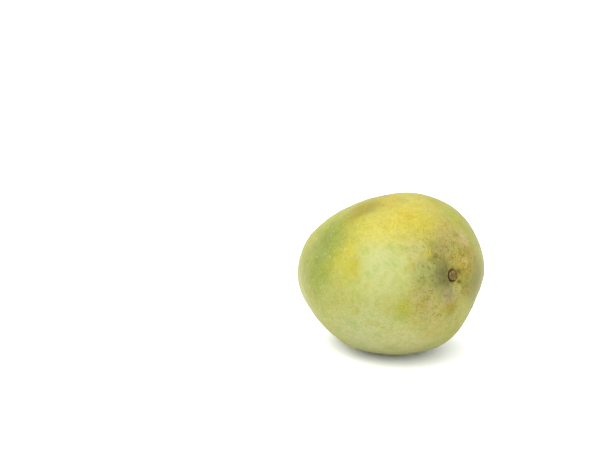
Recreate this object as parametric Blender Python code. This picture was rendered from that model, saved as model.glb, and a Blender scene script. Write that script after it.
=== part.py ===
"""A whole mango lying in its resting pose, with the short dry stem left in its pit.

Metres, +Z up. The stem end points along +X and a little upwards. The origin is on the
surface that the fruit rests on, below the middle of its bounding box.
"""

import math

import bmesh
import bpy
from mathutils import Euler, Matrix, Vector

MM = 0.001

# Fruit, in its own axes: X towards the stem, Y across its width, Z through its thickness
FRUIT_LENGTH = 107.0 * MM
FRUIT_WIDTH = 95.3 * MM
FRUIT_THICKNESS = 85.3 * MM
SHOULDER_FULLNESS = 0.14
SHOULDER_SLOPE = 0.145
APEX_BLUNTNESS = 0.1
AXIS_BOW = -3.9 * MM

# Soft swellings (+) and flats (-) of the skin: degrees from the stem, degrees round the
# axis from +Y, reach in degrees, height
SWELLINGS = (
    (46.0, 316.0, 22.0, -1.7 * MM),
    (60.0, 276.0, 22.0, 0.9 * MM),
    (95.0, 232.0, 22.0, 1.4 * MM),
    (125.0, 198.0, 22.0, -0.8 * MM),
    (127.0, 132.0, 22.0, 0.7 * MM),
    (93.0, 95.0, 22.0, -1.2 * MM),
    (100.0, 20.0, 23.0, -0.8 * MM),
    (70.0, 345.0, 20.0, 0.6 * MM),
    (140.0, 60.0, 22.0, -0.6 * MM),
)

# Blunt beak near the apex, where the flower's style stood
BEAK_FROM_STEM = 165.0
BEAK_ROUND_AXIS = 180.0
BEAK_REACH = 10.0
BEAK_HEIGHT = 0.5 * MM

# Dip of the stem end, and the pit that holds the stem
BASIN_DEPTH = 3.0 * MM
BASIN_RADIUS = 11.0 * MM
PIT_MOUTH_RADIUS = 3.4 * MM
PIT_DEPTH = 2.3 * MM

# Wall of the pit from its lip to its floor: radius, depth below the mouth
PIT_WALL = (
    (3.2 * MM, 0.35 * MM),
    (3.05 * MM, 1.4 * MM),
    (3.05 * MM, PIT_DEPTH),
)

# Dry stem: a short woody knob with a raised rim and a hollow heart
STEM_PROFILE = (
    (0.0, 0.0),
    (2.15 * MM, 0.0),
    (2.5 * MM, 0.35 * MM),
    (2.4 * MM, 1.2 * MM),
    (2.7 * MM, 1.75 * MM),
    (2.6 * MM, 2.1 * MM),
    (2.2 * MM, 2.25 * MM),
    (1.6 * MM, 2.05 * MM),
    (0.95 * MM, 1.65 * MM),
    (0.0, 1.5 * MM),
)
STEM_LOBES = 5
STEM_LOBE_DEPTH = 0.03
STEM_LEAN = 2.0
STEM_LIFT = 0.4 * MM

# Resting pose: stem end raised, then rolled about the stem axis, with a small flat spot
REST_PITCH = 11.1
REST_ROLL = 1.6
FLAT_SPOT_DEPTH = 0.5 * MM

# Facets
FRUIT_SEGMENTS = 80
FRUIT_RINGS = 50
RING_CROWDING = 1.25
STEM_SEGMENTS = 30
SHARP_ANGLE = 35.0
PROFILE_STEPS = 720
HALVINGS = 40
WELD = 0.01 * MM

SKIN_COLOUR = (0.60, 0.60, 0.19, 1.0)
SKIN_ROUGHNESS = 0.48
STEM_COLOUR = (0.18, 0.11, 0.05, 1.0)
STEM_ROUGHNESS = 0.85


def clear_scene():
    for item in list(bpy.data.objects):
        bpy.data.objects.remove(item, do_unlink=True)


def plain_material(name, colour, roughness):
    material = bpy.data.materials.new(name)
    material.use_nodes = True
    shader = material.node_tree.nodes["Principled BSDF"]
    shader.inputs["Base Color"].default_value = colour
    shader.inputs["Roughness"].default_value = roughness
    shader.inputs["Metallic"].default_value = 0.0
    material.diffuse_color = colour
    return material


def direction(from_stem, round_axis):
    """Unit vector at an angle from the stem's axis and an angle round it from +Y."""
    across = math.sin(from_stem)
    return Vector(
        (
            math.cos(from_stem),
            across * math.cos(round_axis),
            across * math.sin(round_axis),
        )
    )


def half_width_share(from_stem):
    """Radius of the fruit's profile before it is scaled: an egg, fuller near the stem."""
    towards_stem = math.cos(from_stem)
    sharpness = 1.0 + SHOULDER_SLOPE * (1.0 + towards_stem) / 2.0
    sharpness -= APEX_BLUNTNESS * (1.0 - towards_stem) / 2.0
    fullness = 1.0 + SHOULDER_FULLNESS * towards_stem
    return max(math.sin(from_stem), 0.0) ** sharpness * fullness


WIDEST_SHARE = max(
    half_width_share(math.pi * step / PROFILE_STEPS) for step in range(PROFILE_STEPS + 1)
)


def bump(heading, from_stem, round_axis, reach):
    """Bell-shaped weight of a swelling, 1 at its middle, by the angle away from it."""
    middle = direction(math.radians(from_stem), math.radians(round_axis))
    away = 1.0 - heading.dot(middle)
    return math.exp(-2.0 * away / math.radians(reach) ** 2)


def skin_point(from_stem, round_axis):
    """Point of the skin at an angle from the stem's axis and an angle round it."""
    towards_stem = math.cos(from_stem)
    share = half_width_share(from_stem) / WIDEST_SHARE
    y = FRUIT_WIDTH / 2 * share * math.cos(round_axis)
    z = FRUIT_THICKNESS / 2 * share * math.sin(round_axis)
    x = FRUIT_LENGTH / 2 * towards_stem
    if towards_stem > 0.0:
        x -= BASIN_DEPTH * math.exp(-(y * y + z * z) / BASIN_RADIUS**2)
    y += AXIS_BOW * towards_stem**2
    point = Vector((x, y, z))
    heading = direction(from_stem, round_axis)
    for swelling in SWELLINGS:
        point += heading * swelling[3] * bump(heading, *swelling[:3])
    beak = bump(heading, BEAK_FROM_STEM, BEAK_ROUND_AXIS, BEAK_REACH)
    return point + heading * BEAK_HEIGHT * beak


def mouth_angle():
    """Angle from the stem's axis at which the skin meets the pit's mouth, by halving."""
    low, high = 0.0, math.pi / 4
    mean_half_width = (FRUIT_WIDTH + FRUIT_THICKNESS) / 4
    for _ in range(HALVINGS):
        middle = (low + high) / 2
        if mean_half_width * half_width_share(middle) / WIDEST_SHARE < PIT_MOUTH_RADIUS:
            low = middle
        else:
            high = middle
    return low


def rest_rotation():
    """Turns the fruit's own axes into its resting pose."""
    pitch = Matrix.Rotation(-math.radians(REST_PITCH), 3, "Y")
    roll = Matrix.Rotation(math.radians(REST_ROLL), 3, "X")
    return pitch @ roll


def shape_skin(bm):
    """A sphere with its pole at the stem, each point moved out to the fruit's skin."""
    bmesh.ops.create_uvsphere(
        bm,
        u_segments=FRUIT_SEGMENTS,
        v_segments=FRUIT_RINGS,
        radius=1.0,
        matrix=Matrix.Rotation(math.radians(90.0), 4, "Y"),
    )
    first_ring = math.pi / FRUIT_RINGS
    mouth = mouth_angle()
    for vertex in bm.verts:
        x, y, z = vertex.co
        angle = math.acos(max(-1.0, min(1.0, x)))
        if angle > first_ring / 2:
            share = (angle - first_ring) / (math.pi - first_ring)
            angle = mouth + (math.pi - mouth) * max(share, 0.0) ** RING_CROWDING
        vertex.co = skin_point(angle, math.atan2(z, y))


def sink_pit(bm):
    """Opens the skin at the stem and takes the mouth's edge down to a flat floor."""
    pole = max(bm.verts, key=lambda vertex: vertex.co.x - axis_distance(vertex.co))
    bmesh.ops.delete(bm, geom=[pole], context="VERTS")
    rim = [edge for edge in bm.edges if edge.is_boundary]
    mouth_x = sum(vertex.co.x for edge in rim for vertex in edge.verts) / (2 * len(rim))
    for radius, depth in PIT_WALL:
        grown = bmesh.ops.extrude_edge_only(bm, edges=rim)["geom"]
        rim = [item for item in grown if isinstance(item, bmesh.types.BMEdge)]
        rim = [edge for edge in rim if edge.is_boundary]
        for vertex in {vertex for edge in rim for vertex in edge.verts}:
            outwards = Vector((0.0, vertex.co.y - AXIS_BOW, vertex.co.z)).normalized()
            vertex.co = Vector((mouth_x - depth, AXIS_BOW, 0.0)) + outwards * radius
    bmesh.ops.contextual_create(bm, geom=rim)
    return Vector((mouth_x - PIT_DEPTH, AXIS_BOW, 0.0))


def axis_distance(point):
    """Distance from the stem's axis, which the bow has moved across the width."""
    return math.hypot(point.y - AXIS_BOW, point.z)


def cut_flat_spot(bm):
    """Planes off the lowest part of the skin, level with the surface it rests on."""
    down = rest_rotation().inverted() @ Vector((0.0, 0.0, -1.0))
    reach = max(vertex.co.dot(down) for vertex in bm.verts) - FLAT_SPOT_DEPTH
    cut = bmesh.ops.bisect_plane(
        bm,
        geom=bm.verts[:] + bm.edges[:] + bm.faces[:],
        dist=WELD,
        plane_co=down * reach,
        plane_no=down,
        clear_outer=True,
    )["geom_cut"]
    edge_loop = [item for item in cut if isinstance(item, bmesh.types.BMEdge)]
    for vertex in {vertex for edge in edge_loop for vertex in edge.verts}:
        vertex.co += down * (reach - vertex.co.dot(down))
    bmesh.ops.contextual_create(bm, geom=edge_loop)


def finish_mesh(bm, name, material):
    bmesh.ops.recalc_face_normals(bm, faces=bm.faces[:])
    mesh = bpy.data.meshes.new(name)
    bm.to_mesh(mesh)
    bm.free()
    mesh.shade_smooth()
    mesh.set_sharp_from_angle(angle=math.radians(SHARP_ANGLE))
    mesh.materials.append(material)
    item = bpy.data.objects.new(name, mesh)
    bpy.context.scene.collection.objects.link(item)
    return item


def make_fruit():
    """The fruit and the middle of its pit's floor, in the fruit's own axes."""
    bm = bmesh.new()
    shape_skin(bm)
    pit_floor = sink_pit(bm)
    cut_flat_spot(bm)
    material = plain_material("mango_skin", SKIN_COLOUR, SKIN_ROUGHNESS)
    return finish_mesh(bm, "mango_fruit", material), pit_floor


def make_stem():
    """The dry stem, turned about its own Z and drawn slightly out of round."""
    bm = bmesh.new()
    corners = [bm.verts.new((radius, 0.0, height)) for radius, height in STEM_PROFILE]
    edges = [bm.edges.new(pair) for pair in zip(corners, corners[1:])]
    bmesh.ops.spin(
        bm,
        geom=corners + edges,
        cent=(0.0, 0.0, 0.0),
        axis=(0.0, 0.0, 1.0),
        angle=2.0 * math.pi,
        steps=STEM_SEGMENTS,
        use_merge=True,
    )
    bmesh.ops.remove_doubles(bm, verts=bm.verts[:], dist=WELD)
    for vertex in bm.verts:
        around = math.atan2(vertex.co.y, vertex.co.x)
        share = 1.0 - STEM_LOBE_DEPTH * (1.0 + math.cos(STEM_LOBES * around))
        vertex.co.x *= share
        vertex.co.y *= share
    material = plain_material("dry_stem", STEM_COLOUR, STEM_ROUGHNESS)
    return finish_mesh(bm, "stem_stub", material)


def seat_stem(stem, fruit, pit_floor):
    """Stands the stem on the pit's floor, its foot just clear of it."""
    lean = Euler((math.radians(STEM_LEAN), math.radians(90.0 - STEM_LEAN), 0.0))
    stem.parent = fruit
    stem.location = pit_floor + Vector((STEM_LIFT, 0.0, 0.0))
    stem.rotation_euler = lean


def set_down(fruit):
    """Lays the fruit on its flat spot, the middle of its box over the origin."""
    turn = rest_rotation()
    points = [turn @ vertex.co for vertex in fruit.data.vertices]
    low = [min(point[axis] for point in points) for axis in range(3)]
    high = [max(point[axis] for point in points) for axis in range(3)]
    fruit.rotation_euler = turn.to_euler()
    fruit.location = (-(low[0] + high[0]) / 2, -(low[1] + high[1]) / 2, -low[2])


def main():
    clear_scene()
    fruit, pit_floor = make_fruit()
    stem = make_stem()
    seat_stem(stem, fruit, pit_floor)
    set_down(fruit)
    bpy.context.view_layer.update()


main()
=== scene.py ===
"""The looks of a whole mango: its skin, its dry stem, and a plain studio round it.

Laid out as a Blender add-on and run as a script. Lengths are metres unless a name or a
comment says millimetres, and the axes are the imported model's: +X towards the stem, +Z up.
"""

import math
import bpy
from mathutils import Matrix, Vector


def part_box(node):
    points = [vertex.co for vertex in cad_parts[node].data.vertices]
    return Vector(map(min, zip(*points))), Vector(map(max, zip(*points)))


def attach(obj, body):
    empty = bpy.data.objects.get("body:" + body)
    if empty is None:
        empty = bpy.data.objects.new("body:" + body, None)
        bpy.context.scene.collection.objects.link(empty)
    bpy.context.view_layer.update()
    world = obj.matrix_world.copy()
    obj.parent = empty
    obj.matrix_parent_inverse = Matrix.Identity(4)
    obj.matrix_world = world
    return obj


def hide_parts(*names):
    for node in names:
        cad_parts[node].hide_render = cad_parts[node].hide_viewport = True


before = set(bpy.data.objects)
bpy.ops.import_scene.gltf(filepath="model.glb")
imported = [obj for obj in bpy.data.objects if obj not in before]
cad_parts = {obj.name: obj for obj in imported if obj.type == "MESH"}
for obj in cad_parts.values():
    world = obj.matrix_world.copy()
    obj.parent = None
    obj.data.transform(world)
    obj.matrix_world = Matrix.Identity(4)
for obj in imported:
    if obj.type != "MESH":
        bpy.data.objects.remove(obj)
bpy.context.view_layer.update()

from types import SimpleNamespace

import bpy
import numpy as np
from mathutils import Matrix, Vector

bl_info = {
    "name": "Whole Mango",
    "version": (1, 0, 0),
    "blender": (4, 5, 0),
    "location": "3D View > Sidebar > Mango",
    "description": "Builds a ripening mango with a dry stem on a plain pale floor",
    "category": "Add Mesh",
}

MM = 0.001
BODY = "root"
FRUIT_NODE = "mango_fruit"
STEM_NODE = "stem_stub"

# The point that the camera goes round, and the side from which the room is brightest
FRUIT_MIDDLE = (2.78 * MM, -0.93 * MM, 41.5 * MM)
ROOM_BRIGHT_SIDE = (0.3, -0.6, 0.8)

# Soft swellings (+) and flats (-) of the skin, as in the solid model: degrees from the
# stem, degrees round the axis from +Y, reach in degrees, height
SWELLINGS = (
    (46.0, 316.0, 22.0, -1.7 * MM),
    (60.0, 276.0, 22.0, 0.9 * MM),
    (95.0, 232.0, 22.0, 1.4 * MM),
    (125.0, 198.0, 22.0, -0.8 * MM),
    (127.0, 132.0, 22.0, 0.7 * MM),
    (93.0, 95.0, 22.0, -1.2 * MM),
    (100.0, 20.0, 23.0, -0.8 * MM),
    (70.0, 345.0, 20.0, 0.6 * MM),
    (140.0, 60.0, 22.0, -0.6 * MM),
    (165.0, 180.0, 10.0, 0.5 * MM),
)

# Outline of the dry stem from its foot to its hollow heart: radius, height
STEM_PROFILE = (
    (0.0, 0.0),
    (2.15 * MM, 0.0),
    (2.5 * MM, 0.35 * MM),
    (2.4 * MM, 1.2 * MM),
    (2.7 * MM, 1.75 * MM),
    (2.6 * MM, 2.1 * MM),
    (2.2 * MM, 2.25 * MM),
    (1.6 * MM, 2.05 * MM),
    (0.95 * MM, 1.65 * MM),
    (0.0, 1.5 * MM),
)

# Colours of the skin, each a soft patch: most are ripening colours, and some, marked below,
# also hold painted shade or a painted highlight. Columns: what it is, degrees from the stem,
# degrees round the axis, reach in mm, share of the reach that fades out, colour, strength
SKIN_PATCHES = (
    ("top blush", 58, 104, 38, 0.9, "#e2d04e", 1.0),
    # Partly the shoulder's own gold, partly painted shade darkening it on the top left
    ("gold shoulder", 77, 112, 22, 0.9, "#b6a61a", 1.0),
    ("gold rim", 79, 119, 15, 0.8, "#b0a000", 0.95),
    ("gold crest", 69, 100, 9, 0.9, "#dac020", 0.8),
    ("yellow crest", 57, 130, 17, 0.9, "#dfd256", 0.8),
    # Partly pale wax bloom, partly a painted broad highlight
    ("pale flank", 48, 163, 27, 0.9, "#d4d68c", 0.9),
    ("left green", 93, 143, 20, 0.9, "#92a126", 0.9),
    # The next two: partly the greener far side, partly painted shade along the left edge
    ("left leaf", 92, 173, 17, 0.9, "#a6b034", 0.8),
    ("left rim green", 106, 166, 24, 0.9, "#86972c", 0.5),
    ("yellow band", 72, 163, 13, 0.9, "#ccc53c", 0.8),
    ("yellow fleck", 71, 151, 7, 0.9, "#dccb44", 0.6),
    ("low bloom", 70, 218, 38, 0.9, "#ced292", 0.9),
    ("underside", 76, 262, 34, 0.9, "#d2d596", 0.9),
    ("chin pale", 56, 238, 28, 0.9, "#dcd68e", 0.8),
    ("brow olive", 21, 112, 13, 0.9, "#b0a262", 0.8),
    ("right ochre", 15, 20, 17, 0.9, "#c6ae46", 0.9),
    ("right olive", 22, 332, 13, 0.9, "#a19934", 0.85),
    # Partly olive skin, partly painted shade along the right edge
    ("rim olive", 30, 335, 20, 0.9, "#969014", 0.75),
    ("beige brow", 27, 80, 15, 0.9, "#ccb56e", 0.75),
    ("low beige", 30, 248, 20, 0.9, "#cec16e", 0.8),
    ("rose scuff", 27, 200, 14, 0.9, "#c6b571", 0.7),
    ("low mauve", 14, 245, 10, 0.9, "#c2ae84", 0.75),
    ("pale crown", 33, 135, 11, 0.9, "#dacd8c", 0.6),
    ("lime fleck", 44.7, 59, 7, 0.9, "#c8ca18", 0.75),
    ("rose brow", 28, 53, 6.5, 0.9, "#e6ca92", 0.75),
    # The next four are painted shade: olive-grey darkening of the dip round the stem, most
    # of it to the left of the stem and below it
    ("left shade drift", 23, 168, 12, 0.9, "#9c9c5c", 0.45),
    ("scar shade", 10.5, 180, 11.4, 0.95, "#76762a", 0.86),
    ("scar heart", 8, 195, 5, 0.9, "#6e6c20", 0.5),
    ("upper shade", 12, 140, 8, 0.95, "#847a36", 0.55),
    ("stem ochre", 6.8, 12, 3.4, 0.9, "#7e6e16", 0.85),
    ("amber right", 13, 12, 5, 0.9, "#bca022", 0.8),
    ("tan fleck", 15, 29, 5, 0.9, "#e0c664", 0.8),
    ("rust right", 18, 308, 6, 0.9, "#b39c40", 0.7),
    ("amber fleck", 23, 262, 7, 0.9, "#b4a014", 0.9),
    ("green fleck", 39.5, 202, 8, 0.9, "#bebc2e", 0.85),
    ("olive streak", 22, 133, 4.5, 0.9, "#85852a", 0.7),
    ("sun fleck", 26, 131, 4.5, 0.9, "#d9c94a", 0.7),
    ("dark dot", 8.2, 308, 2.1, 0.8, "#645e08", 0.9),
    ("small dot", 13.1, 179, 1.3, 0.8, "#5c541a", 0.8),
    ("brow dot", 21, 112, 1.3, 0.8, "#4c4a14", 0.75),
    ("far dot", 26, 171, 1.3, 0.8, "#66651f", 0.6),
    ("far green", 78, 10, 42, 0.9, "#8a9a3c", 0.85),
    ("far yellow", 62, 40, 20, 0.9, "#cdbf4c", 0.7),
    ("far bloom", 100, 330, 26, 0.9, "#a3ab66", 0.7),
    ("apex green", 160, 150, 30, 0.9, "#93a03c", 0.8),
    ("apex yellow", 138, 40, 18, 0.9, "#c4b842", 0.6),
    ("apex scar halo", 166, 180, 6, 0.95, "#a89a48", 0.7),
    ("apex scar", 166, 180, 1.9, 0.7, "#5c4a1e", 0.85),
)

# Middle of the pale flank with its painted highlight, where grain and specks are faintest:
# degrees from the stem and round the axis
CALM_FLANK = (52, 162)

# Patches that reach further than this many millimetres have a widely wandering edge
WIDE_PATCH = 12.0

# Rings of skin points round the pit: from and to this far off the stem's axis, how many
PIT_RINGS = (
    (0.6 * MM, 2.7 * MM, 5),
    (2.7 * MM, 4.3 * MM, 20),
    (4.3 * MM, 12.0 * MM, 25),
)
FLANK_RINGS = 170
FRUIT_SEGMENTS = 320
STEM_RINGS = 57
STEM_SEGMENTS = 96

# Relief of the skin: the lengths of its waves, the folds and the raised collar round the
# pit and where they lie off the stem's axis, where the waves start, and the pit's rounded
# lip and uneven wall
DENT_LENGTH = 26.0 * MM
RIPPLE_LENGTH = 6.5 * MM
FOLD_COUNT = 9.0
FOLD_MIDDLE = 5.2 * MM
FOLD_REACH = 2.0 * MM
FOLD_DRIFT_LENGTH = 9.0 * MM
FOLD_DRIFT = 0.9
COLLAR_HEIGHT = 0.12 * MM
COLLAR_MIDDLE = 4.3 * MM
COLLAR_REACH = 0.6 * MM
RELIEF_START = 3.9 * MM
RELIEF_END = 6.0 * MM
LIP_INSIDE = 0.15 * MM
LIP_OUTSIDE = 0.5 * MM
WALL_LENGTH = 2.4 * MM
WALL_HEIGHT = 0.07 * MM

# Relief of the stem's torn end: the heights where it starts and is full, its waves, and
# its splits, how deep they are and what share of the radius they take
TORN_START = 1.4 * MM
TORN_END = 2.0 * MM
TORN_LENGTH = 0.9 * MM
TORN_HEIGHT = 0.06 * MM
SPLIT_COUNT = 7.0
SPLIT_DEPTH = 0.22 * MM
SPLIT_SHARE = 0.03

# Corners of the floor's rim, where the soft light hangs and what it points at
FLOOR_SIDES = 64
KEY_PLACE = (-0.1, -0.45)
KEY_AIM = (0.0, 0.0, 0.04)

# Settings of a node that turns a value into a soft edge, and how fine a noise's detail is
SOFT_EDGE = {"output": "Result", "interpolation_type": "SMOOTHSTEP"}
EVENNESS = 0.55


def linear(code, alpha=None):
    """Turns an sRGB hex colour into the linear values that Blender mixes."""
    levels = [int(code[place:place + 2], 16) / 255 for place in (1, 3, 5)]
    mixed = [
        level / 12.92 if level <= 0.04045 else ((level + 0.055) / 1.055) ** 2.4
        for level in levels
    ]
    return tuple(mixed) if alpha is None else (*mixed, alpha)


def length_setting(label, meaning, size):
    return bpy.props.FloatProperty(
        name=label, description=meaning, default=size, precision=5, unit="LENGTH"
    )


def angle_setting(label, meaning, degrees):
    return bpy.props.FloatProperty(
        name=label, description=meaning, default=math.radians(degrees), subtype="ANGLE"
    )


def share_setting(label, meaning, value):
    return bpy.props.FloatProperty(
        name=label, description=meaning, default=value, min=0.0, subtype="FACTOR"
    )


def colour_setting(label, meaning, code):
    return bpy.props.FloatVectorProperty(
        name=label,
        description=meaning,
        default=linear(code),
        min=0.0,
        max=1.0,
        subtype="COLOR",
    )


class MangoFormSettings(bpy.types.PropertyGroup):
    """Sizes of the fruit, before it is laid down."""

    length: length_setting("Length", "Along the stem axis, without the dip", 107.0 * MM)
    width: length_setting("Width", "Across the fruit", 95.3 * MM)
    thickness: length_setting("Thickness", "Through the fruit", 85.3 * MM)
    fullness: share_setting("Shoulder fullness", "How much fuller the stem half is", 0.14)
    slope: share_setting("Shoulder slope", "How steeply the stem end falls away", 0.145)
    bluntness: share_setting("Apex bluntness", "How blunt the far end is", 0.1)
    bow: length_setting("Bow", "How far both ends lean to one side", -3.9 * MM)
    basin_depth: length_setting("Dip depth", "Depth of the dip at the stem", 3.0 * MM)
    basin_radius: length_setting("Dip radius", "Reach of the dip at the stem", 11.0 * MM)
    pit_depth: length_setting("Pit depth", "Depth of the pit below its mouth", 2.3 * MM)
    pit_mouth: length_setting("Pit mouth", "Radius of the pit's mouth", 3.4 * MM)
    stem_radius: length_setting("Stem radius", "Widest radius of the stem", 2.7 * MM)
    pit_gap: length_setting("Pit gap", "Least room between stem and skin", 0.1 * MM)
    pit_lap: length_setting("Pit lap", "Extra room where the skin gapes", 0.5 * MM)
    pitch: angle_setting("Pitch", "How far the stem end is raised", 11.1)
    roll: angle_setting("Roll", "How far the fruit is rolled", 1.6)
    flat_depth: length_setting("Flat spot", "Depth of the flat it rests on", 0.5 * MM)
    pucker: length_setting("Pucker", "Height of the folds round the pit", 0.16 * MM)
    dent: length_setting("Dents", "Height of the skin's wide unevenness", 0.16 * MM)
    ripple: length_setting("Ripple", "Height of the skin's fine unevenness", 0.035 * MM)


class MangoSkinSettings(bpy.types.PropertyGroup):
    """Finish of the skin."""

    ground: colour_setting("Ground", "Skin between the patches", "#c2c04f")
    lenticel: colour_setting("Pores", "Pale pores of the skin", "#e4e2b4")
    speck: colour_setting("Specks", "Dark specks near the stem", "#66662e")
    # Dried sap, also laid on as painted shade in the gap round the stem
    sap: colour_setting("Dried sap", "Stain round the stem's pit", "#745c12")
    bloom: colour_setting("Bloom", "Pale wax over the skin", "#d4d6ac")
    lenticel_gap: length_setting("Pore spacing", "Mean distance of pores", 2.3 * MM)
    roughness: share_setting("Roughness", "Gloss of the clean skin", 0.46)
    depth: share_setting("Depth", "Share of the colours above that is reflected", 0.43)


class MangoStemSettings(bpy.types.PropertyGroup):
    """Shape and finish of the dry stem."""

    lobes: bpy.props.IntProperty(
        name="Lobes", description="Soft corners of the stem's outline", default=5, min=0
    )
    lobe_depth: share_setting("Lobe depth", "How far the outline is drawn in", 0.03)
    lean: angle_setting("Lean", "Tilt of the stem in its pit", 2.0)
    foot_gap: length_setting("Foot gap", "Room below the stem's foot", 0.4 * MM)
    bark: colour_setting("Bark", "Dry outside of the stem", "#5e4a14")
    wood: colour_setting("Wood", "Torn wood at the stem's end", "#7e6928")
    crack: colour_setting("Cracks", "Shaded cracks and the hollow heart", "#2c2008")


class MangoStudioSettings(bpy.types.PropertyGroup):
    """Floor, light and camera."""

    floor: colour_setting("Floor", "Painted floor", "#fbfbfa")
    floor_radius: length_setting("Floor radius", "Reach of the floor", 6.0)
    room_tint: colour_setting("Room tint", "Colour of the room's white light", "#f8fbff")
    room_light: bpy.props.FloatProperty(
        name="Room light", description="White light from the bright side", default=2.35
    )
    room_dim: bpy.props.FloatProperty(
        name="Far side", description="White light from the side away from it", default=1.25
    )
    key_power: bpy.props.FloatProperty(
        name="Key light", description="Soft light overhead", default=7.6, unit="POWER"
    )
    key_side: length_setting("Key size", "Side of the soft light overhead", 0.9)
    key_height: length_setting("Key height", "Height of the soft light", 0.95)
    lens_mm: bpy.props.FloatProperty(
        name="Lens", description="Focal length in mm", default=85.0, min=1.0
    )
    azimuth: angle_setting("Camera place", "Bearing of the camera", 45.67)
    elevation: angle_setting("Camera height", "Camera above the horizon", 15.69)
    distance: length_setting("Camera distance", "From the fruit's middle", 0.7547)
    aim_azimuth: angle_setting("Aim bearing", "Bearing the camera looks along", 49.484)
    aim_elevation: angle_setting("Aim tilt", "How far the camera looks down", 13.781)


def settings(name):
    return getattr(bpy.context.scene, name)


# Shapes of the fruit and the stem


def heading(from_stem, round_axis):
    """Unit vectors at angles from the stem's axis and round it from +Y."""
    across = np.sin(from_stem)
    return np.stack(
        (np.cos(from_stem), across * np.cos(round_axis), across * np.sin(round_axis)),
        axis=-1,
    )


def width_share(form, from_stem):
    """Radius of the fruit's profile before it is scaled: an egg, fuller at the stem."""
    towards_stem = np.cos(from_stem)
    sharpness = 1.0 + form.slope * (1.0 + towards_stem) / 2.0
    sharpness -= form.bluntness * (1.0 - towards_stem) / 2.0
    across = np.clip(np.sin(from_stem), 0.0, 1.0)
    return across**sharpness * (1.0 + form.fullness * towards_stem)


def widest_share(form):
    return width_share(form, np.linspace(0.0, math.pi, 721)).max()


def smooth_step(low, high, value):
    share = np.clip((value - low) / (high - low), 0.0, 1.0)
    return share * share * (3.0 - 2.0 * share)


def skin_points(form, from_stem, round_axis):
    """Points of the skin in the fruit's own axes, without its pit and fine relief."""
    towards_stem = np.cos(from_stem)
    share = width_share(form, from_stem) / widest_share(form)
    y = form.width / 2 * share * np.cos(round_axis)
    z = form.thickness / 2 * share * np.sin(round_axis)
    dip = form.basin_depth * np.exp(-(y * y + z * z) / form.basin_radius**2)
    x = form.length / 2 * towards_stem - np.where(towards_stem > 0.0, dip, 0.0)
    y = y + form.bow * towards_stem**2
    points = np.stack(np.broadcast_arrays(x, y, z), axis=-1)
    outwards = heading(from_stem, round_axis)
    for stem_angle, axis_angle, reach, height in SWELLINGS:
        middle = heading(math.radians(stem_angle), math.radians(axis_angle))
        away = 1.0 - outwards @ middle
        bell = np.exp(-2.0 * away / math.radians(reach) ** 2)
        points = points + outwards * (height * bell)[..., None]
    return points


def rest_turn(form):
    """Turns the fruit's own axes into its resting pose."""
    return Matrix.Rotation(-form.pitch, 3, "Y") @ Matrix.Rotation(form.roll, 3, "X")


def rest_offset(form):
    """Moves the turned fruit to where the solid model lies, its flat spot at z = 0."""
    stem_angles, axis_angles = np.meshgrid(
        np.linspace(0.0, math.pi, 181), np.linspace(0.0, 2.0 * math.pi, 361)
    )
    points = skin_points(form, stem_angles, axis_angles).reshape(-1, 3)
    points = points @ np.array(rest_turn(form)).T
    middle = (points.min(axis=0) + points.max(axis=0)) / 2
    low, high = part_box(FRUIT_NODE)
    target = (low + high) / 2
    return Vector(
        (
            target.x - middle[0],
            target.y - middle[1],
            -(points[:, 2].min() + form.flat_depth),
        )
    )


def place_on_skin(form, stem_degrees, axis_degrees):
    """A point of the skin at rest, named by its two angles in degrees."""
    point = skin_points(form, math.radians(stem_degrees), math.radians(axis_degrees))
    return rest_turn(form) @ Vector(point) + rest_offset(form)


def mouth_middle(form):
    """Middle of the pit's mouth in the fruit's own axes."""
    ring = np.linspace(0.0, 2.0 * math.pi, 24, endpoint=False)
    angle = angle_of_radius(form, form.pit_mouth)
    x = skin_points(form, np.full(len(ring), angle), ring)[:, 0].mean()
    return Vector((x, form.bow, 0.0))


def angle_of_radius(form, radius):
    """Angle from the stem's axis where the skin is this far from it, near the stem."""
    table = np.linspace(0.0, math.pi / 4, 2001)
    radii = (form.width + form.thickness) / 4 * width_share(form, table)
    return np.interp(radius, radii / widest_share(form), table)


def waves(points, wavelength, height, seed, count=14):
    """Soft unevenness: the sum of many plane waves of about one length, seeded."""
    draw = np.random.default_rng(seed)
    total = np.zeros(points.shape[:-1])
    for _ in range(count):
        axis = draw.normal(size=3)
        axis /= np.linalg.norm(axis)
        length = wavelength * draw.uniform(0.7, 1.5)
        phase = draw.uniform(0.0, 2.0 * math.pi)
        total += np.sin(points @ axis * (2.0 * math.pi / length) + phase)
    return total * height * math.sqrt(2.0 / count)


def ring_angles(form):
    """Angles of the skin's rings from the stem: crowded at the pit's wall and lip."""
    radii = [
        np.linspace(start, end, count, endpoint=False) for start, end, count in PIT_RINGS
    ]
    near = angle_of_radius(form, np.append(np.concatenate(radii), PIT_RINGS[-1][1]))
    shares = np.linspace(0.0, 1.0, FLANK_RINGS + 2)[1:-1]
    far = near[-1] + (math.pi - near[-1]) * shares
    return np.concatenate((near, far))


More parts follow.
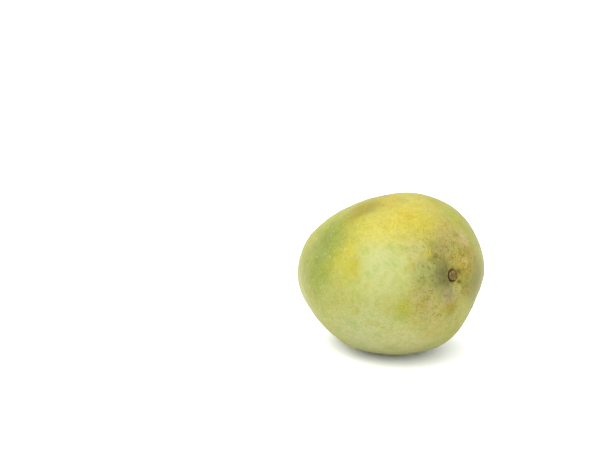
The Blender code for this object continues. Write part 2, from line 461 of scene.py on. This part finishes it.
def fruit_grid(form):
    """Rings of skin points in the fruit's own axes, with pit, folds and fine relief."""
    rings = ring_angles(form)
    around = np.linspace(0.0, 2.0 * math.pi, FRUIT_SEGMENTS, endpoint=False)
    stem_angles, axis_angles = np.meshgrid(rings, around, indexing="ij")
    points = skin_points(form, stem_angles, axis_angles)
    outwards = heading(stem_angles, axis_angles)
    from_axis = np.hypot(points[..., 1] - form.bow, points[..., 2])
    # The far end nears the axis too, and has neither folds nor a pit
    from_axis[rings > math.pi / 2] = form.width

    dents = waves(points, DENT_LENGTH, form.dent, seed=11)
    ripples = waves(points, RIPPLE_LENGTH, form.ripple, seed=12)
    fold_bell = np.exp(-(((from_axis - FOLD_MIDDLE) / FOLD_REACH) ** 2))
    fold_drift = waves(points, FOLD_DRIFT_LENGTH, FOLD_DRIFT, seed=13)
    folds = form.pucker * np.cos(FOLD_COUNT * axis_angles + fold_drift) * fold_bell
    collar = COLLAR_HEIGHT * np.exp(-(((from_axis - COLLAR_MIDDLE) / COLLAR_REACH) ** 2))
    uneven = smooth_step(RELIEF_START, RELIEF_END, from_axis)
    relief = (dents + ripples) * uneven + folds + collar
    points = points + outwards * relief[..., None]

    gape = form.pit_lap * np.clip(-np.cos(axis_angles), 0.0, 1.0)
    wall = form.stem_radius + form.pit_gap + gape
    wall = wall + waves(points, WALL_LENGTH, WALL_HEIGHT, seed=14)
    sunk = 1.0 - smooth_step(wall - LIP_INSIDE, wall + LIP_OUTSIDE, from_axis)
    points[..., 0] -= form.pit_depth * sunk
    return points, rings, around


def stem_grid(stem):
    """Rings of points of the stem, which stands on its foot, with its torn end."""
    profile = np.array(STEM_PROFILE)[1:-1]
    stations = np.linspace(0.0, len(profile) - 1.0, STEM_RINGS)
    radii = np.interp(stations, np.arange(len(profile)), profile[:, 0])
    heights = np.interp(stations, np.arange(len(profile)), profile[:, 1])
    around = np.linspace(0.0, 2.0 * math.pi, STEM_SEGMENTS, endpoint=False)
    radius, turn = np.meshgrid(radii, around, indexing="ij")
    height = np.repeat(heights[:, None], len(around), axis=1)
    lobes = 1.0 - stem.lobe_depth * (1.0 + np.cos(stem.lobes * turn))
    points = np.stack(
        (radius * lobes * np.cos(turn), radius * lobes * np.sin(turn), height), axis=-1
    )
    torn = smooth_step(TORN_START, TORN_END, points[..., 2])
    rough = waves(points, TORN_LENGTH, TORN_HEIGHT, seed=21)
    splits = np.cos(SPLIT_COUNT * turn + 2.0 * rough / TORN_HEIGHT)
    splits = np.clip(splits, 0.0, 1.0) ** 6
    points[..., 2] += (rough - SPLIT_DEPTH * splits) * torn
    points[..., :2] *= (1.0 - SPLIT_SHARE * splits)[..., None]
    return points


def laid_down(form, points):
    """Turns points to their resting place and presses the lowest ones flat."""
    placed = points @ np.array(rest_turn(form)).T + np.array(rest_offset(form))
    softness = 0.12 * MM
    height = placed[..., 2]
    placed[..., 2] = (height + np.sqrt(height**2 + softness**2)) / 2
    return placed


def mesh_from_rings(name, rings, first_tip, last_tip):
    """A closed mesh from rings of points and a tip beyond each end."""
    count, segments = rings.shape[:2]
    corners = np.concatenate((rings.reshape(-1, 3), [first_tip, last_tip]))
    index = np.arange(count * segments).reshape(count, segments)
    step = np.roll(index, -1, axis=1)
    quads = np.stack((index[:-1], step[:-1], step[1:], index[1:]), axis=-1)
    start = [(count * segments, b, a) for a, b in zip(index[0], step[0])]
    end = [(count * segments + 1, a, b) for a, b in zip(index[-1], step[-1])]
    mesh = bpy.data.meshes.new(name)
    mesh.from_pydata(corners, [], start + quads.reshape(-1, 4).tolist() + end)
    mesh.validate()
    mesh.shade_smooth()
    return mesh


def lay_out_halves(mesh, segments, angles, name="OFBake"):
    """Lays the skin out flat as two round halves, stem end and apex end."""
    disc, edge = 0.288, 0.01
    around = np.linspace(0.0, 2.0 * math.pi, segments, endpoint=False)
    vertex_angle = np.append(np.repeat(angles, segments), (0.0, math.pi))
    vertex_turn = np.append(np.tile(around, len(angles)), (0.0, 0.0))
    corner = np.empty(len(mesh.loops), dtype=np.int32)
    mesh.loops.foreach_get("vertex_index", corner)
    sides = np.empty(len(mesh.polygons), dtype=np.int32)
    mesh.polygons.foreach_get("loop_total", sides)
    face = np.repeat(np.arange(len(sides)), sides)
    angle, turn = vertex_angle[corner], vertex_turn[corner]
    apex = (np.bincount(face, angle) / sides)[face] > math.pi / 2
    middle = np.where(apex, 1.0 - disc - edge, disc + edge)
    reach = np.where(apex, math.pi - angle, angle) / (math.pi / 2)
    reach *= disc * (1.0 - edge)
    flip = np.where(apex, -1.0, 1.0)
    places = np.stack(
        (middle + reach * np.cos(turn) * flip, middle + reach * np.sin(turn)), axis=-1
    )
    mesh.uv_layers.new(name=name).data.foreach_set("uv", places.ravel())


def add_object(name, mesh, material):
    mesh.materials.append(material)
    item = bpy.data.objects.new(name, mesh)
    bpy.context.scene.collection.objects.link(item)
    return item


# Materials


def socket(sockets, key):
    """A node's socket by its identifier, or else by its name or number."""
    for found in sockets:
        if found.identifier == key:
            return found
    return sockets[key]


def add_node(tree, kind, inputs=None, output=0, **choices):
    """Adds a node, sets and links its inputs, and returns the output named, if any."""
    node = tree.nodes.new(kind)
    for name, value in choices.items():
        setattr(node, name, value)
    for key, value in (inputs or {}).items():
        if isinstance(value, bpy.types.NodeSocket):
            tree.links.new(value, socket(node.inputs, key))
        else:
            socket(node.inputs, key).default_value = value
    return socket(node.outputs, output) if node.outputs else None


def new_material(name):
    """An empty node material and its tree."""
    material = bpy.data.materials.new(name)
    material.use_nodes = True
    material.node_tree.nodes.clear()
    return material, material.node_tree


def in_millimetres(tree):
    """The object's own coordinates, in millimetres."""
    place = add_node(tree, "ShaderNodeTexCoord", output="Object")
    return add_node(
        tree, "ShaderNodeVectorMath", {0: place, "Scale": 1.0 / MM}, operation="SCALE"
    )


def wandering(tree, place, start, size_mm, reach_mm):
    """A place moved about by a noise read at the start, so that its pattern wanders."""
    pattern = add_node(
        tree,
        "ShaderNodeTexNoise",
        {"Vector": start, "Scale": 1.0 / size_mm, "Detail": 3.0, "Roughness": EVENNESS},
        "Color",
    )
    centred = add_node(
        tree, "ShaderNodeVectorMath", {0: pattern, 1: (0.5, 0.5, 0.5)}, operation="SUBTRACT"
    )
    scaled = add_node(
        tree, "ShaderNodeVectorMath", {0: centred, "Scale": reach_mm}, operation="SCALE"
    )
    return add_node(tree, "ShaderNodeVectorMath", {0: place, 1: scaled}, operation="ADD")


def rayed(tree, place, bearing_round, stretch, rays):
    """A place drawn out along the lines that run from the pit."""
    spokes = add_node(
        tree, "ShaderNodeVectorMath", {0: bearing_round, "Scale": rays}, operation="SCALE"
    )
    return add_node(
        tree,
        "ShaderNodeVectorMath",
        {0: place, 1: (stretch, stretch, stretch), 2: spokes},
        operation="MULTIPLY_ADD",
    )


def cloudy(tree, place, size_mm, low, high, bottom=0.0, top=1.0, detail=3.0):
    """Soft uneven patches about this many millimetres across, from bottom to top."""
    pattern = add_node(
        tree,
        "ShaderNodeTexNoise",
        {"Vector": place, "Scale": 1.0 / size_mm, "Detail": detail, "Roughness": EVENNESS},
        "Fac",
    )
    limits = {"From Min": low, "From Max": high, "To Min": bottom, "To Max": top}
    return add_node(tree, "ShaderNodeMapRange", {"Value": pattern, **limits}, **SOFT_EDGE)


def round_patch(tree, place, middle, outside, inside, bottom=0.0, top=1.0):
    """A soft round patch: top within one distance of its middle, bottom beyond another."""
    away = add_node(
        tree, "ShaderNodeVectorMath", {0: place, 1: middle}, "Value", operation="DISTANCE"
    )
    limits = {"From Min": outside, "From Max": inside, "To Min": bottom, "To Max": top}
    return add_node(tree, "ShaderNodeMapRange", {"Value": away, **limits}, **SOFT_EDGE)


def dots(tree, place, gap_mm, channel, rare, most, outer, inner):
    """Round dots about this far apart.

    A share of them, rare, is left out and the others grow up to most. Their edge fades
    from outer to inner. All but the first are shares of the gap.
    """
    chance = add_node(
        tree, "ShaderNodeTexVoronoi", {"Vector": place, "Scale": 1.0 / gap_mm}, "Color"
    )
    luck = add_node(tree, "ShaderNodeSeparateColor", {"Color": chance}, channel)
    limits = {"From Min": rare, "From Max": 1.0, "To Min": 0.0, "To Max": most}
    size = add_node(tree, "ShaderNodeMapRange", {"Value": luck, **limits}, **SOFT_EDGE)
    away = chance.node.outputs["Distance"]
    edge = add_node(tree, "ShaderNodeMath", {0: away, 1: size}, operation="SUBTRACT")
    limits = {"From Min": outer, "From Max": inner}
    return add_node(tree, "ShaderNodeMapRange", {"Value": edge, **limits}, **SOFT_EDGE)


def lay_over(tree, colour, above, *weights, blend="MIX"):
    """Lays a second colour over the first, or tints the first, where all weights allow.

    Returns the new colour and how far the second shows.
    """
    shown = weights[0]
    for weight in weights[1:]:
        shown = add_node(tree, "ShaderNodeMath", {0: shown, 1: weight}, operation="MULTIPLY")
    colour = add_node(
        tree,
        "ShaderNodeMix",
        {"Factor_Float": shown, "A_Color": colour, "B_Color": above},
        "Result_Color",
        data_type="RGBA",
        blend_type=blend,
    )
    return colour, shown


def built_up(tree, start, layers):
    """A value with a share of each layer added to it."""
    for layer, share in layers:
        start = add_node(
            tree, "ShaderNodeMath", {0: layer, 1: share, 2: start}, operation="MULTIPLY_ADD"
        )
    return start


def skin_places(tree, form):
    """Where the skin's patterns are drawn, and how each place lies to the stem.

    All is in millimetres: place is exact, close wanders by a few, wide and drawn by more.
    The share that is called calm is least in the middle of the pale flank.
    """
    place = in_millimetres(tree)
    wide = wandering(tree, place, place, size_mm=24.0, reach_mm=16.0)
    drawn = wandering(tree, wide, place, size_mm=4.0, reach_mm=5.0)
    mouth = (rest_turn(form) @ mouth_middle(form) + rest_offset(form)) / MM
    axis = rest_turn(form) @ Vector((1.0, 0.0, 0.0))
    arm = add_node(tree, "ShaderNodeVectorMath", {0: place, 1: mouth}, operation="SUBTRACT")
    across = add_node(
        tree, "ShaderNodeVectorMath", {0: arm, 1: axis}, operation="CROSS_PRODUCT"
    )
    bearing_round = add_node(
        tree, "ShaderNodeVectorMath", {0: across}, operation="NORMALIZE"
    )
    flank = place_on_skin(form, *CALM_FLANK) / MM
    return SimpleNamespace(
        place=place,
        wide=wide,
        drawn=drawn,
        close=wandering(tree, place, place, size_mm=2.5, reach_mm=3.5),
        mouth=mouth,
        arm=arm,
        radius=add_node(
            tree, "ShaderNodeVectorMath", {0: across}, "Value", operation="LENGTH"
        ),
        bearing_round=bearing_round,
        side=add_node(tree, "ShaderNodeSeparateXYZ", {"Vector": bearing_round}, "Z"),
        calm=round_patch(tree, drawn, flank, 28.0, 12.0, bottom=1.0, top=0.4),
    )


def near_stem(tree, at, outside, inside, bottom=0.0, top=1.0):
    """Top within one distance of the stem in millimetres, bottom beyond another."""
    return round_patch(tree, at.drawn, at.mouth, outside, inside, bottom, top)


def clear_of_pit(tree, at, edge):
    """Nothing as near the stem's axis as this edge, and all from 10 mm off."""
    limits = {"From Min": edge, "From Max": 10.0}
    return add_node(tree, "ShaderNodeMapRange", {"Value": at.radius, **limits}, **SOFT_EDGE)


def on_worn_and_shaded_side(tree, at, start, full, least):
    """All on one side of the stem end, where the skin is worn and the pit's gap has painted
    shade, and the least on the other side.
    """
    limits = {"From Min": start, "From Max": full, "To Min": least}
    return add_node(tree, "ShaderNodeMapRange", {"Value": at.side, **limits}, **SOFT_EDGE)


def ripened_and_shaded(tree, at, form, skin):
    """Green that ripens to yellow in soft patches, some of which also hold painted shade or
    a painted highlight.
    """
    colour = (*skin.ground, 1.0)
    for _, stem_degrees, axis_degrees, reach, fade, code, strength in SKIN_PATCHES:
        middle = place_on_skin(form, stem_degrees, axis_degrees) / MM
        place = at.drawn if reach > WIDE_PATCH else at.close
        full = reach * (1.0 - fade)
        patch = round_patch(tree, place, middle, reach, full, top=strength)
        colour, _ = lay_over(tree, colour, linear(code, 1.0), patch)
    return colour


def mottled(tree, at, colour):
    """Uneven ripening: drifts 10 mm, flecks 2 and 3 mm and grain 0.8 mm across."""
    worn = near_stem(tree, at, 36.0, 8.0, bottom=0.15, top=0.9)
    for tint, *weights in (
        ("#f4e88c", cloudy(tree, at.wide, 10.0, 0.52, 0.72, top=0.5)),
        ("#d4ecb4", cloudy(tree, at.wide, 10.0, 0.48, 0.3, top=0.5)),
        ("#dde0b0", cloudy(tree, at.close, 3.0, 0.42, 0.66, top=0.3, detail=4.0)),
        ("#ecdc98", cloudy(tree, at.drawn, 2.2, 0.5, 0.66), worn),
        ("#cfca9c", cloudy(tree, at.place, 0.8, 0.42, 0.7, top=0.5, detail=2.0), at.calm),
    ):
        colour, _ = lay_over(tree, colour, linear(tint, 1.0), *weights, blend="MULTIPLY")
    return colour


def stippled(tree, at, brown, crowd, colour):
    """Small browned pores all over, thickest within 30 mm of the stem."""
    dot = dots(tree, at.place, 1.3, "Green", rare=0.3, most=0.34, outer=0.16, inner=-0.16)
    near = near_stem(tree, at, 34.0, 4.0, bottom=0.2, top=0.8)
    return lay_over(tree, colour, brown, dot, near, crowd, at.calm)


def spotted(tree, at, brown, colour):
    """A few large browned pores at the stem end, most of them on the worn side."""
    dot = dots(tree, at.close, 2.2, "Red", rare=0.2, most=0.26, outer=0.22, inner=-0.12)
    near = near_stem(tree, at, 29.0, 21.0, top=0.5)
    side = on_worn_and_shaded_side(tree, at, -0.5, 0.5, least=0.3)
    return lay_over(tree, colour, brown, dot, near, side, clear_of_pit(tree, at, 6.0))[0]


def dashed(tree, at, brown, crowd, colour):
    """Browned pores drawn out along the lines that meet in the pit."""
    place = rayed(tree, at.arm, at.bearing_round, stretch=0.5, rays=9.0)
    dash = dots(tree, place, 1.0, "Blue", rare=0.3, most=0.34, outer=0.1, inner=-0.14)
    near = near_stem(tree, at, 26.0, 12.0, top=0.75)
    clear = clear_of_pit(tree, at, 5.5)
    return lay_over(tree, colour, brown, dash, near, clear, crowd, at.calm)[0]


def stained_and_shaded(tree, at, sap, colour):
    """Dried sap and painted shade: a ragged dark ring on the pit's lip and wall.

    It is darkest on the side where the gap round the stem is in shade, and faint where the
    skin laps over.
    """
    ragged = add_node(
        tree,
        "ShaderNodeTexNoise",
        {"Vector": at.place, "Scale": 1.0 / 2.2, "Detail": 3.0, "Roughness": EVENNESS},
        "Fac",
    )
    # The noise pushes the ring's edge in and out by up to 3.2 mm
    edge = built_up(tree, at.radius, [(ragged, 3.2)])
    limits = {"From Min": 6.2, "From Max": 4.5}
    ring = add_node(tree, "ShaderNodeMapRange", {"Value": edge, **limits}, **SOFT_EDGE)
    near = near_stem(tree, at, 14.0, 12.0)
    side = on_worn_and_shaded_side(tree, at, -0.7, 0.2, least=0.4)
    return lay_over(tree, colour, sap, ring, near, side, 0.85)


def skin_bump(tree, at, layers):
    """The skin's finest relief, in millimetres: two swells and the layers given."""
    layers = list(layers)
    for size_mm, height_mm in ((5.0, 0.22), (1.1, 0.09)):
        swell = add_node(
            tree,
            "ShaderNodeTexNoise",
            {
                "Vector": at.place,
                "Scale": 1.0 / size_mm,
                "Detail": 3.0,
                "Roughness": EVENNESS,
            },
            "Fac",
        )
        layers.append((swell, height_mm))
    height = built_up(tree, 0.0, layers)
    return add_node(
        tree,
        "ShaderNodeBump",
        {"Height": height, "Distance": MM, "Strength": 1.0},
        "Normal",
    )


def skin_material(form, skin):
    """Mango skin: a thin leathery rind under a thin wax.

    It is satin, not glossy. To the eye it is green that ripens to yellow in soft patches,
    finely mottled, with pale pores, a whitish bloom, dark specks near the stem and a brown
    stain of dried sap round the pit. Some patches, the sap ring and the folds round the pit
    also hold painted shade, and the pale flank a painted highlight.
    """
    material, tree = new_material("mango_rind")
    at = skin_places(tree, form)
    colour = mottled(tree, at, ripened_and_shaded(tree, at, form, skin))

    # Bloom: wax crystals, thickest in cloudy patches on the flanks
    bloom = cloudy(tree, at.wide, 15.0, 0.42, 0.68, top=0.1, detail=4.0)
    colour, _ = lay_over(tree, colour, (*skin.bloom, 1.0), bloom)

    # Pores: corky dots 0.3 to 0.7 mm across, plainer on the greener half
    gap_mm = skin.lenticel_gap / MM
    pore = dots(tree, at.place, gap_mm, "Red", rare=0.25, most=0.22, outer=0.09, inner=-0.05)
    along = add_node(tree, "ShaderNodeSeparateXYZ", {"Vector": at.drawn}, "X")
    limits = {"From Min": 25.0, "From Max": -25.0, "To Min": 0.16, "To Max": 0.45}
    plain = add_node(tree, "ShaderNodeMapRange", {"Value": along, **limits}, **SOFT_EDGE)
    colour, _ = lay_over(tree, colour, (*skin.lenticel, 1.0), pore, plain)

    # Browned pores: stipple, spots and dashes, which crowd together in patches
    brown = (*skin.speck, 1.0)
    crowd = cloudy(tree, at.drawn, 5.0, 0.4, 0.62, bottom=0.3, detail=2.0)
    colour, speck = stippled(tree, at, brown, crowd, colour)
    colour = spotted(tree, at, brown, colour)
    colour = dashed(tree, at, brown, crowd, colour)

    # Streaks: shallow folds that run out from the pit, darker along them: partly the stem
    # end's own dark streaks, partly painted shade in their hollows
    broken = rayed(tree, at.close, at.bearing_round, stretch=0.16, rays=3.0)
    fold = cloudy(tree, broken, 1.1, 0.46, 0.72)
    near = near_stem(tree, at, 19.0, 5.0, top=0.6)
    streak_shade = linear("#b8ab80", 1.0)
    colour, streak = lay_over(tree, colour, streak_shade, fold, near, blend="MULTIPLY")

    # Dried sap ring, partly painted shade in the pit's gap on one side
    colour, stain = stained_and_shaded(tree, at, (*skin.sap, 1.0), colour)
    depth = (skin.depth, skin.depth, skin.depth, 1.0)
    colour, _ = lay_over(tree, colour, depth, 1.0, blend="MULTIPLY")
    shader = add_node(
        tree,
        "ShaderNodeBsdfPrincipled",
        {
            "Base Color": colour,
            "Roughness": built_up(tree, skin.roughness, ((bloom, 0.6), (stain, 0.235))),
            "IOR": 1.4,
            "Specular IOR Level": 0.17,
            "Normal": skin_bump(tree, at, ((pore, 0.03), (speck, -0.05), (streak, -0.12))),
        },
    )
    add_node(tree, "ShaderNodeOutputMaterial", {"Surface": shader})
    return material


def stem_material(stem, middle):
    """Dead stalk wood: torn across and dried out.

    It is matt and cracked, brown bark outside and paler fibres at the torn end.
    """
    material, tree = new_material("dry_stalk_wood")
    place = in_millimetres(tree)
    crack = (*stem.crack, 1.0)
    torn = cloudy(tree, place, 1.4, 0.4, 0.62)
    colour, _ = lay_over(tree, (*stem.bark, 1.0), (*stem.wood, 1.0), torn)
    fibres = add_node(
        tree,
        "ShaderNodeTexNoise",
        {"Vector": place, "Scale": 1.0 / 0.5, "Detail": 4.0, "Roughness": EVENNESS},
        "Fac",
    )
    limits = {"From Min": 0.62, "From Max": 0.4, "To Max": 0.6}
    cracks = add_node(tree, "ShaderNodeMapRange", {"Value": fibres, **limits}, **SOFT_EDGE)
    # Painted shade in the cracks between the fibres
    colour, _ = lay_over(tree, colour, crack, cracks)
    # Painted shade in the hollow heart of the torn end
    heart = round_patch(tree, place, middle / MM, 1.0, 0.4, top=0.35)
    colour, _ = lay_over(tree, colour, crack, heart)
    bump = add_node(
        tree, "ShaderNodeBump", {"Height": fibres, "Distance": 0.25 * MM}, "Normal"
    )
    shader = add_node(
        tree,
        "ShaderNodeBsdfPrincipled",
        {"Base Color": colour, "Roughness": 0.88, "IOR": 1.5, "Normal": bump},
    )
    add_node(tree, "ShaderNodeOutputMaterial", {"Surface": shader})
    return material


def floor_material(studio):
    """Matt white emulsion on a smooth board: even, with no gloss to the eye."""
    material, tree = new_material("white_emulsion")
    place = add_node(tree, "ShaderNodeTexCoord", output="Object")
    cloud = add_node(tree, "ShaderNodeTexNoise", {"Vector": place, "Scale": 3.0}, "Fac")
    colour = (*studio.floor, 1.0)
    colour, _ = lay_over(tree, colour, linear("#fafaf9", 1.0), cloud, blend="MULTIPLY")
    shader = add_node(
        tree,
        "ShaderNodeBsdfPrincipled",
        {"Base Color": colour, "Roughness": 0.8, "Specular IOR Level": 0.2},
    )
    add_node(tree, "ShaderNodeOutputMaterial", {"Surface": shader})
    return material


# Operators


class MANGO_OT_fruit(bpy.types.Operator):
    """Build the fruit's skin in place of its plain solid"""

    bl_idname = "mango.build_fruit"
    bl_label = "Fruit"

    def execute(self, context):
        form, skin = settings("mango_form"), settings("mango_skin")
        points, angles, around = fruit_grid(form)
        tips = skin_points(form, np.array((0.0, math.pi)), np.zeros(2))
        tips[0, 0] -= form.pit_depth
        rings, tips = laid_down(form, points), laid_down(form, tips)
        mesh = mesh_from_rings("mango_skin", rings, tips[0], tips[1])
        lay_out_halves(mesh, len(around), angles)
        fruit = add_object("mango_skin", mesh, skin_material(form, skin))
        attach(fruit, BODY)
        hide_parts(FRUIT_NODE)
        return {"FINISHED"}


class MANGO_OT_stem(bpy.types.Operator):
    """Build the short dry stem that stands in the fruit's pit"""

    bl_idname = "mango.build_stem"
    bl_label = "Dry stem"

    def execute(self, context):
        form, stem = settings("mango_form"), settings("mango_stem")
        lean = Matrix.Rotation(math.pi / 2 - stem.lean, 3, "Y")
        lean = lean @ Matrix.Rotation(stem.lean, 3, "X")
        foot = mouth_middle(form) + Vector((stem.foot_gap - form.pit_depth, 0.0, 0.0))
        turn_in = rest_turn(form) @ lean
        seat = rest_turn(form) @ foot + rest_offset(form)
        rings = stem_grid(stem) @ np.array(turn_in).T + np.array(seat)
        rises = (STEM_PROFILE[0][1], STEM_PROFILE[-1][1])
        tips = [turn_in @ Vector((0.0, 0.0, rise)) + seat for rise in rises]
        mesh = mesh_from_rings("stem_wood", rings, tips[0], tips[1])
        wood = add_object("stem_wood", mesh, stem_material(stem, tips[1]))
        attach(wood, BODY)
        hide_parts(STEM_NODE)
        return {"FINISHED"}


class MANGO_OT_studio(bpy.types.Operator):
    """Build the floor, the light and the camera"""

    bl_idname = "mango.build_studio"
    bl_label = "Studio"

    def execute(self, context):
        studio = settings("mango_studio")
        self.lay_floor(studio)
        self.hang_lights(studio)
        self.place_camera(studio)
        return {"FINISHED"}

    def lay_floor(self, studio):
        turns = np.linspace(0.0, 2.0 * math.pi, FLOOR_SIDES, endpoint=False)
        rim = [
            (studio.floor_radius * math.cos(turn), studio.floor_radius * math.sin(turn), 0.0)
            for turn in turns
        ]
        mesh = bpy.data.meshes.new("studio_floor")
        mesh.from_pydata(rim, [], [range(len(rim))])
        floor = add_object("studio_floor", mesh, floor_material(studio))

    def hang_lights(self, studio):
        world = bpy.data.worlds.new("white_room")
        world.use_nodes = True
        world.node_tree.nodes.clear()
        tree = world.node_tree
        sight = add_node(tree, "ShaderNodeTexCoord", output="Generated")
        towards = Vector(ROOM_BRIGHT_SIDE).normalized()
        facing = add_node(
            tree,
            "ShaderNodeVectorMath",
            {0: sight, 1: towards},
            "Value",
            operation="DOT_PRODUCT",
        )
        strength = add_node(
            tree,
            "ShaderNodeMapRange",
            {
                "Value": facing,
                "From Min": -0.5,
                "From Max": 0.9,
                "To Min": studio.room_dim,
                "To Max": studio.room_light,
            },
            **SOFT_EDGE,
        )
        light = add_node(
            tree,
            "ShaderNodeBackground",
            {"Color": (*studio.room_tint, 1.0), "Strength": strength},
        )
        add_node(tree, "ShaderNodeOutputWorld", {"Surface": light})
        bpy.context.scene.world = world
        key = bpy.data.lights.new("soft_box", "AREA")
        key.size = studio.key_side
        key.energy = studio.key_power
        lamp = bpy.data.objects.new("soft_box", key)
        bpy.context.scene.collection.objects.link(lamp)
        lamp.location = (*KEY_PLACE, studio.key_height)
        down = Vector(lamp.location) - Vector(KEY_AIM)
        lamp.rotation_euler = down.to_track_quat("Z", "Y").to_euler()
        bpy.context.scene.view_settings.view_transform = "Standard"

    def place_camera(self, studio):
        middle = Vector(FRUIT_MIDDLE)
        data = bpy.data.cameras.new("camera")
        data.lens = studio.lens_mm
        data.sensor_width = 36.0
        data.clip_end = 20.0
        camera = bpy.data.objects.new("camera", data)
        bpy.context.scene.collection.objects.link(camera)
        towards = bearing(studio.azimuth, studio.elevation)
        camera.location = middle + towards * studio.distance
        back = bearing(studio.aim_azimuth, studio.aim_elevation)
        camera.rotation_euler = back.to_track_quat("Z", "Y").to_euler()
        bpy.context.scene.camera = camera


def bearing(azimuth, elevation):
    """Unit vector towards a viewer at a bearing, where 0 looks along +Y."""
    level = math.cos(elevation)
    return Vector(
        (math.sin(azimuth) * level, -math.cos(azimuth) * level, math.sin(elevation))
    )


class MANGO_PT_sidebar(bpy.types.Panel):
    """Lists the pieces of the mango"""

    bl_idname = "MANGO_PT_sidebar"
    bl_label = "Whole Mango"
    bl_space_type = "VIEW_3D"
    bl_region_type = "UI"
    bl_category = "Mango"

    def draw(self, context):
        for operator in OPERATORS:
            self.layout.operator(operator.bl_idname)


SETTINGS = {
    "mango_form": MangoFormSettings,
    "mango_skin": MangoSkinSettings,
    "mango_stem": MangoStemSettings,
    "mango_studio": MangoStudioSettings,
}
OPERATORS = (MANGO_OT_fruit, MANGO_OT_stem, MANGO_OT_studio)


def register():
    for name, group in SETTINGS.items():
        bpy.utils.register_class(group)
        setattr(bpy.types.Scene, name, bpy.props.PointerProperty(type=group))
    for item in (*OPERATORS, MANGO_PT_sidebar):
        bpy.utils.register_class(item)


def unregister():
    for item in (MANGO_PT_sidebar, *reversed(OPERATORS)):
        bpy.utils.unregister_class(item)
    for name, group in SETTINGS.items():
        delattr(bpy.types.Scene, name)
        bpy.utils.unregister_class(group)


def main():
    register()
    bpy.ops.mango.build_studio()
    bpy.ops.mango.build_fruit()
    bpy.ops.mango.build_stem()


if __name__ == "__main__":
    main()
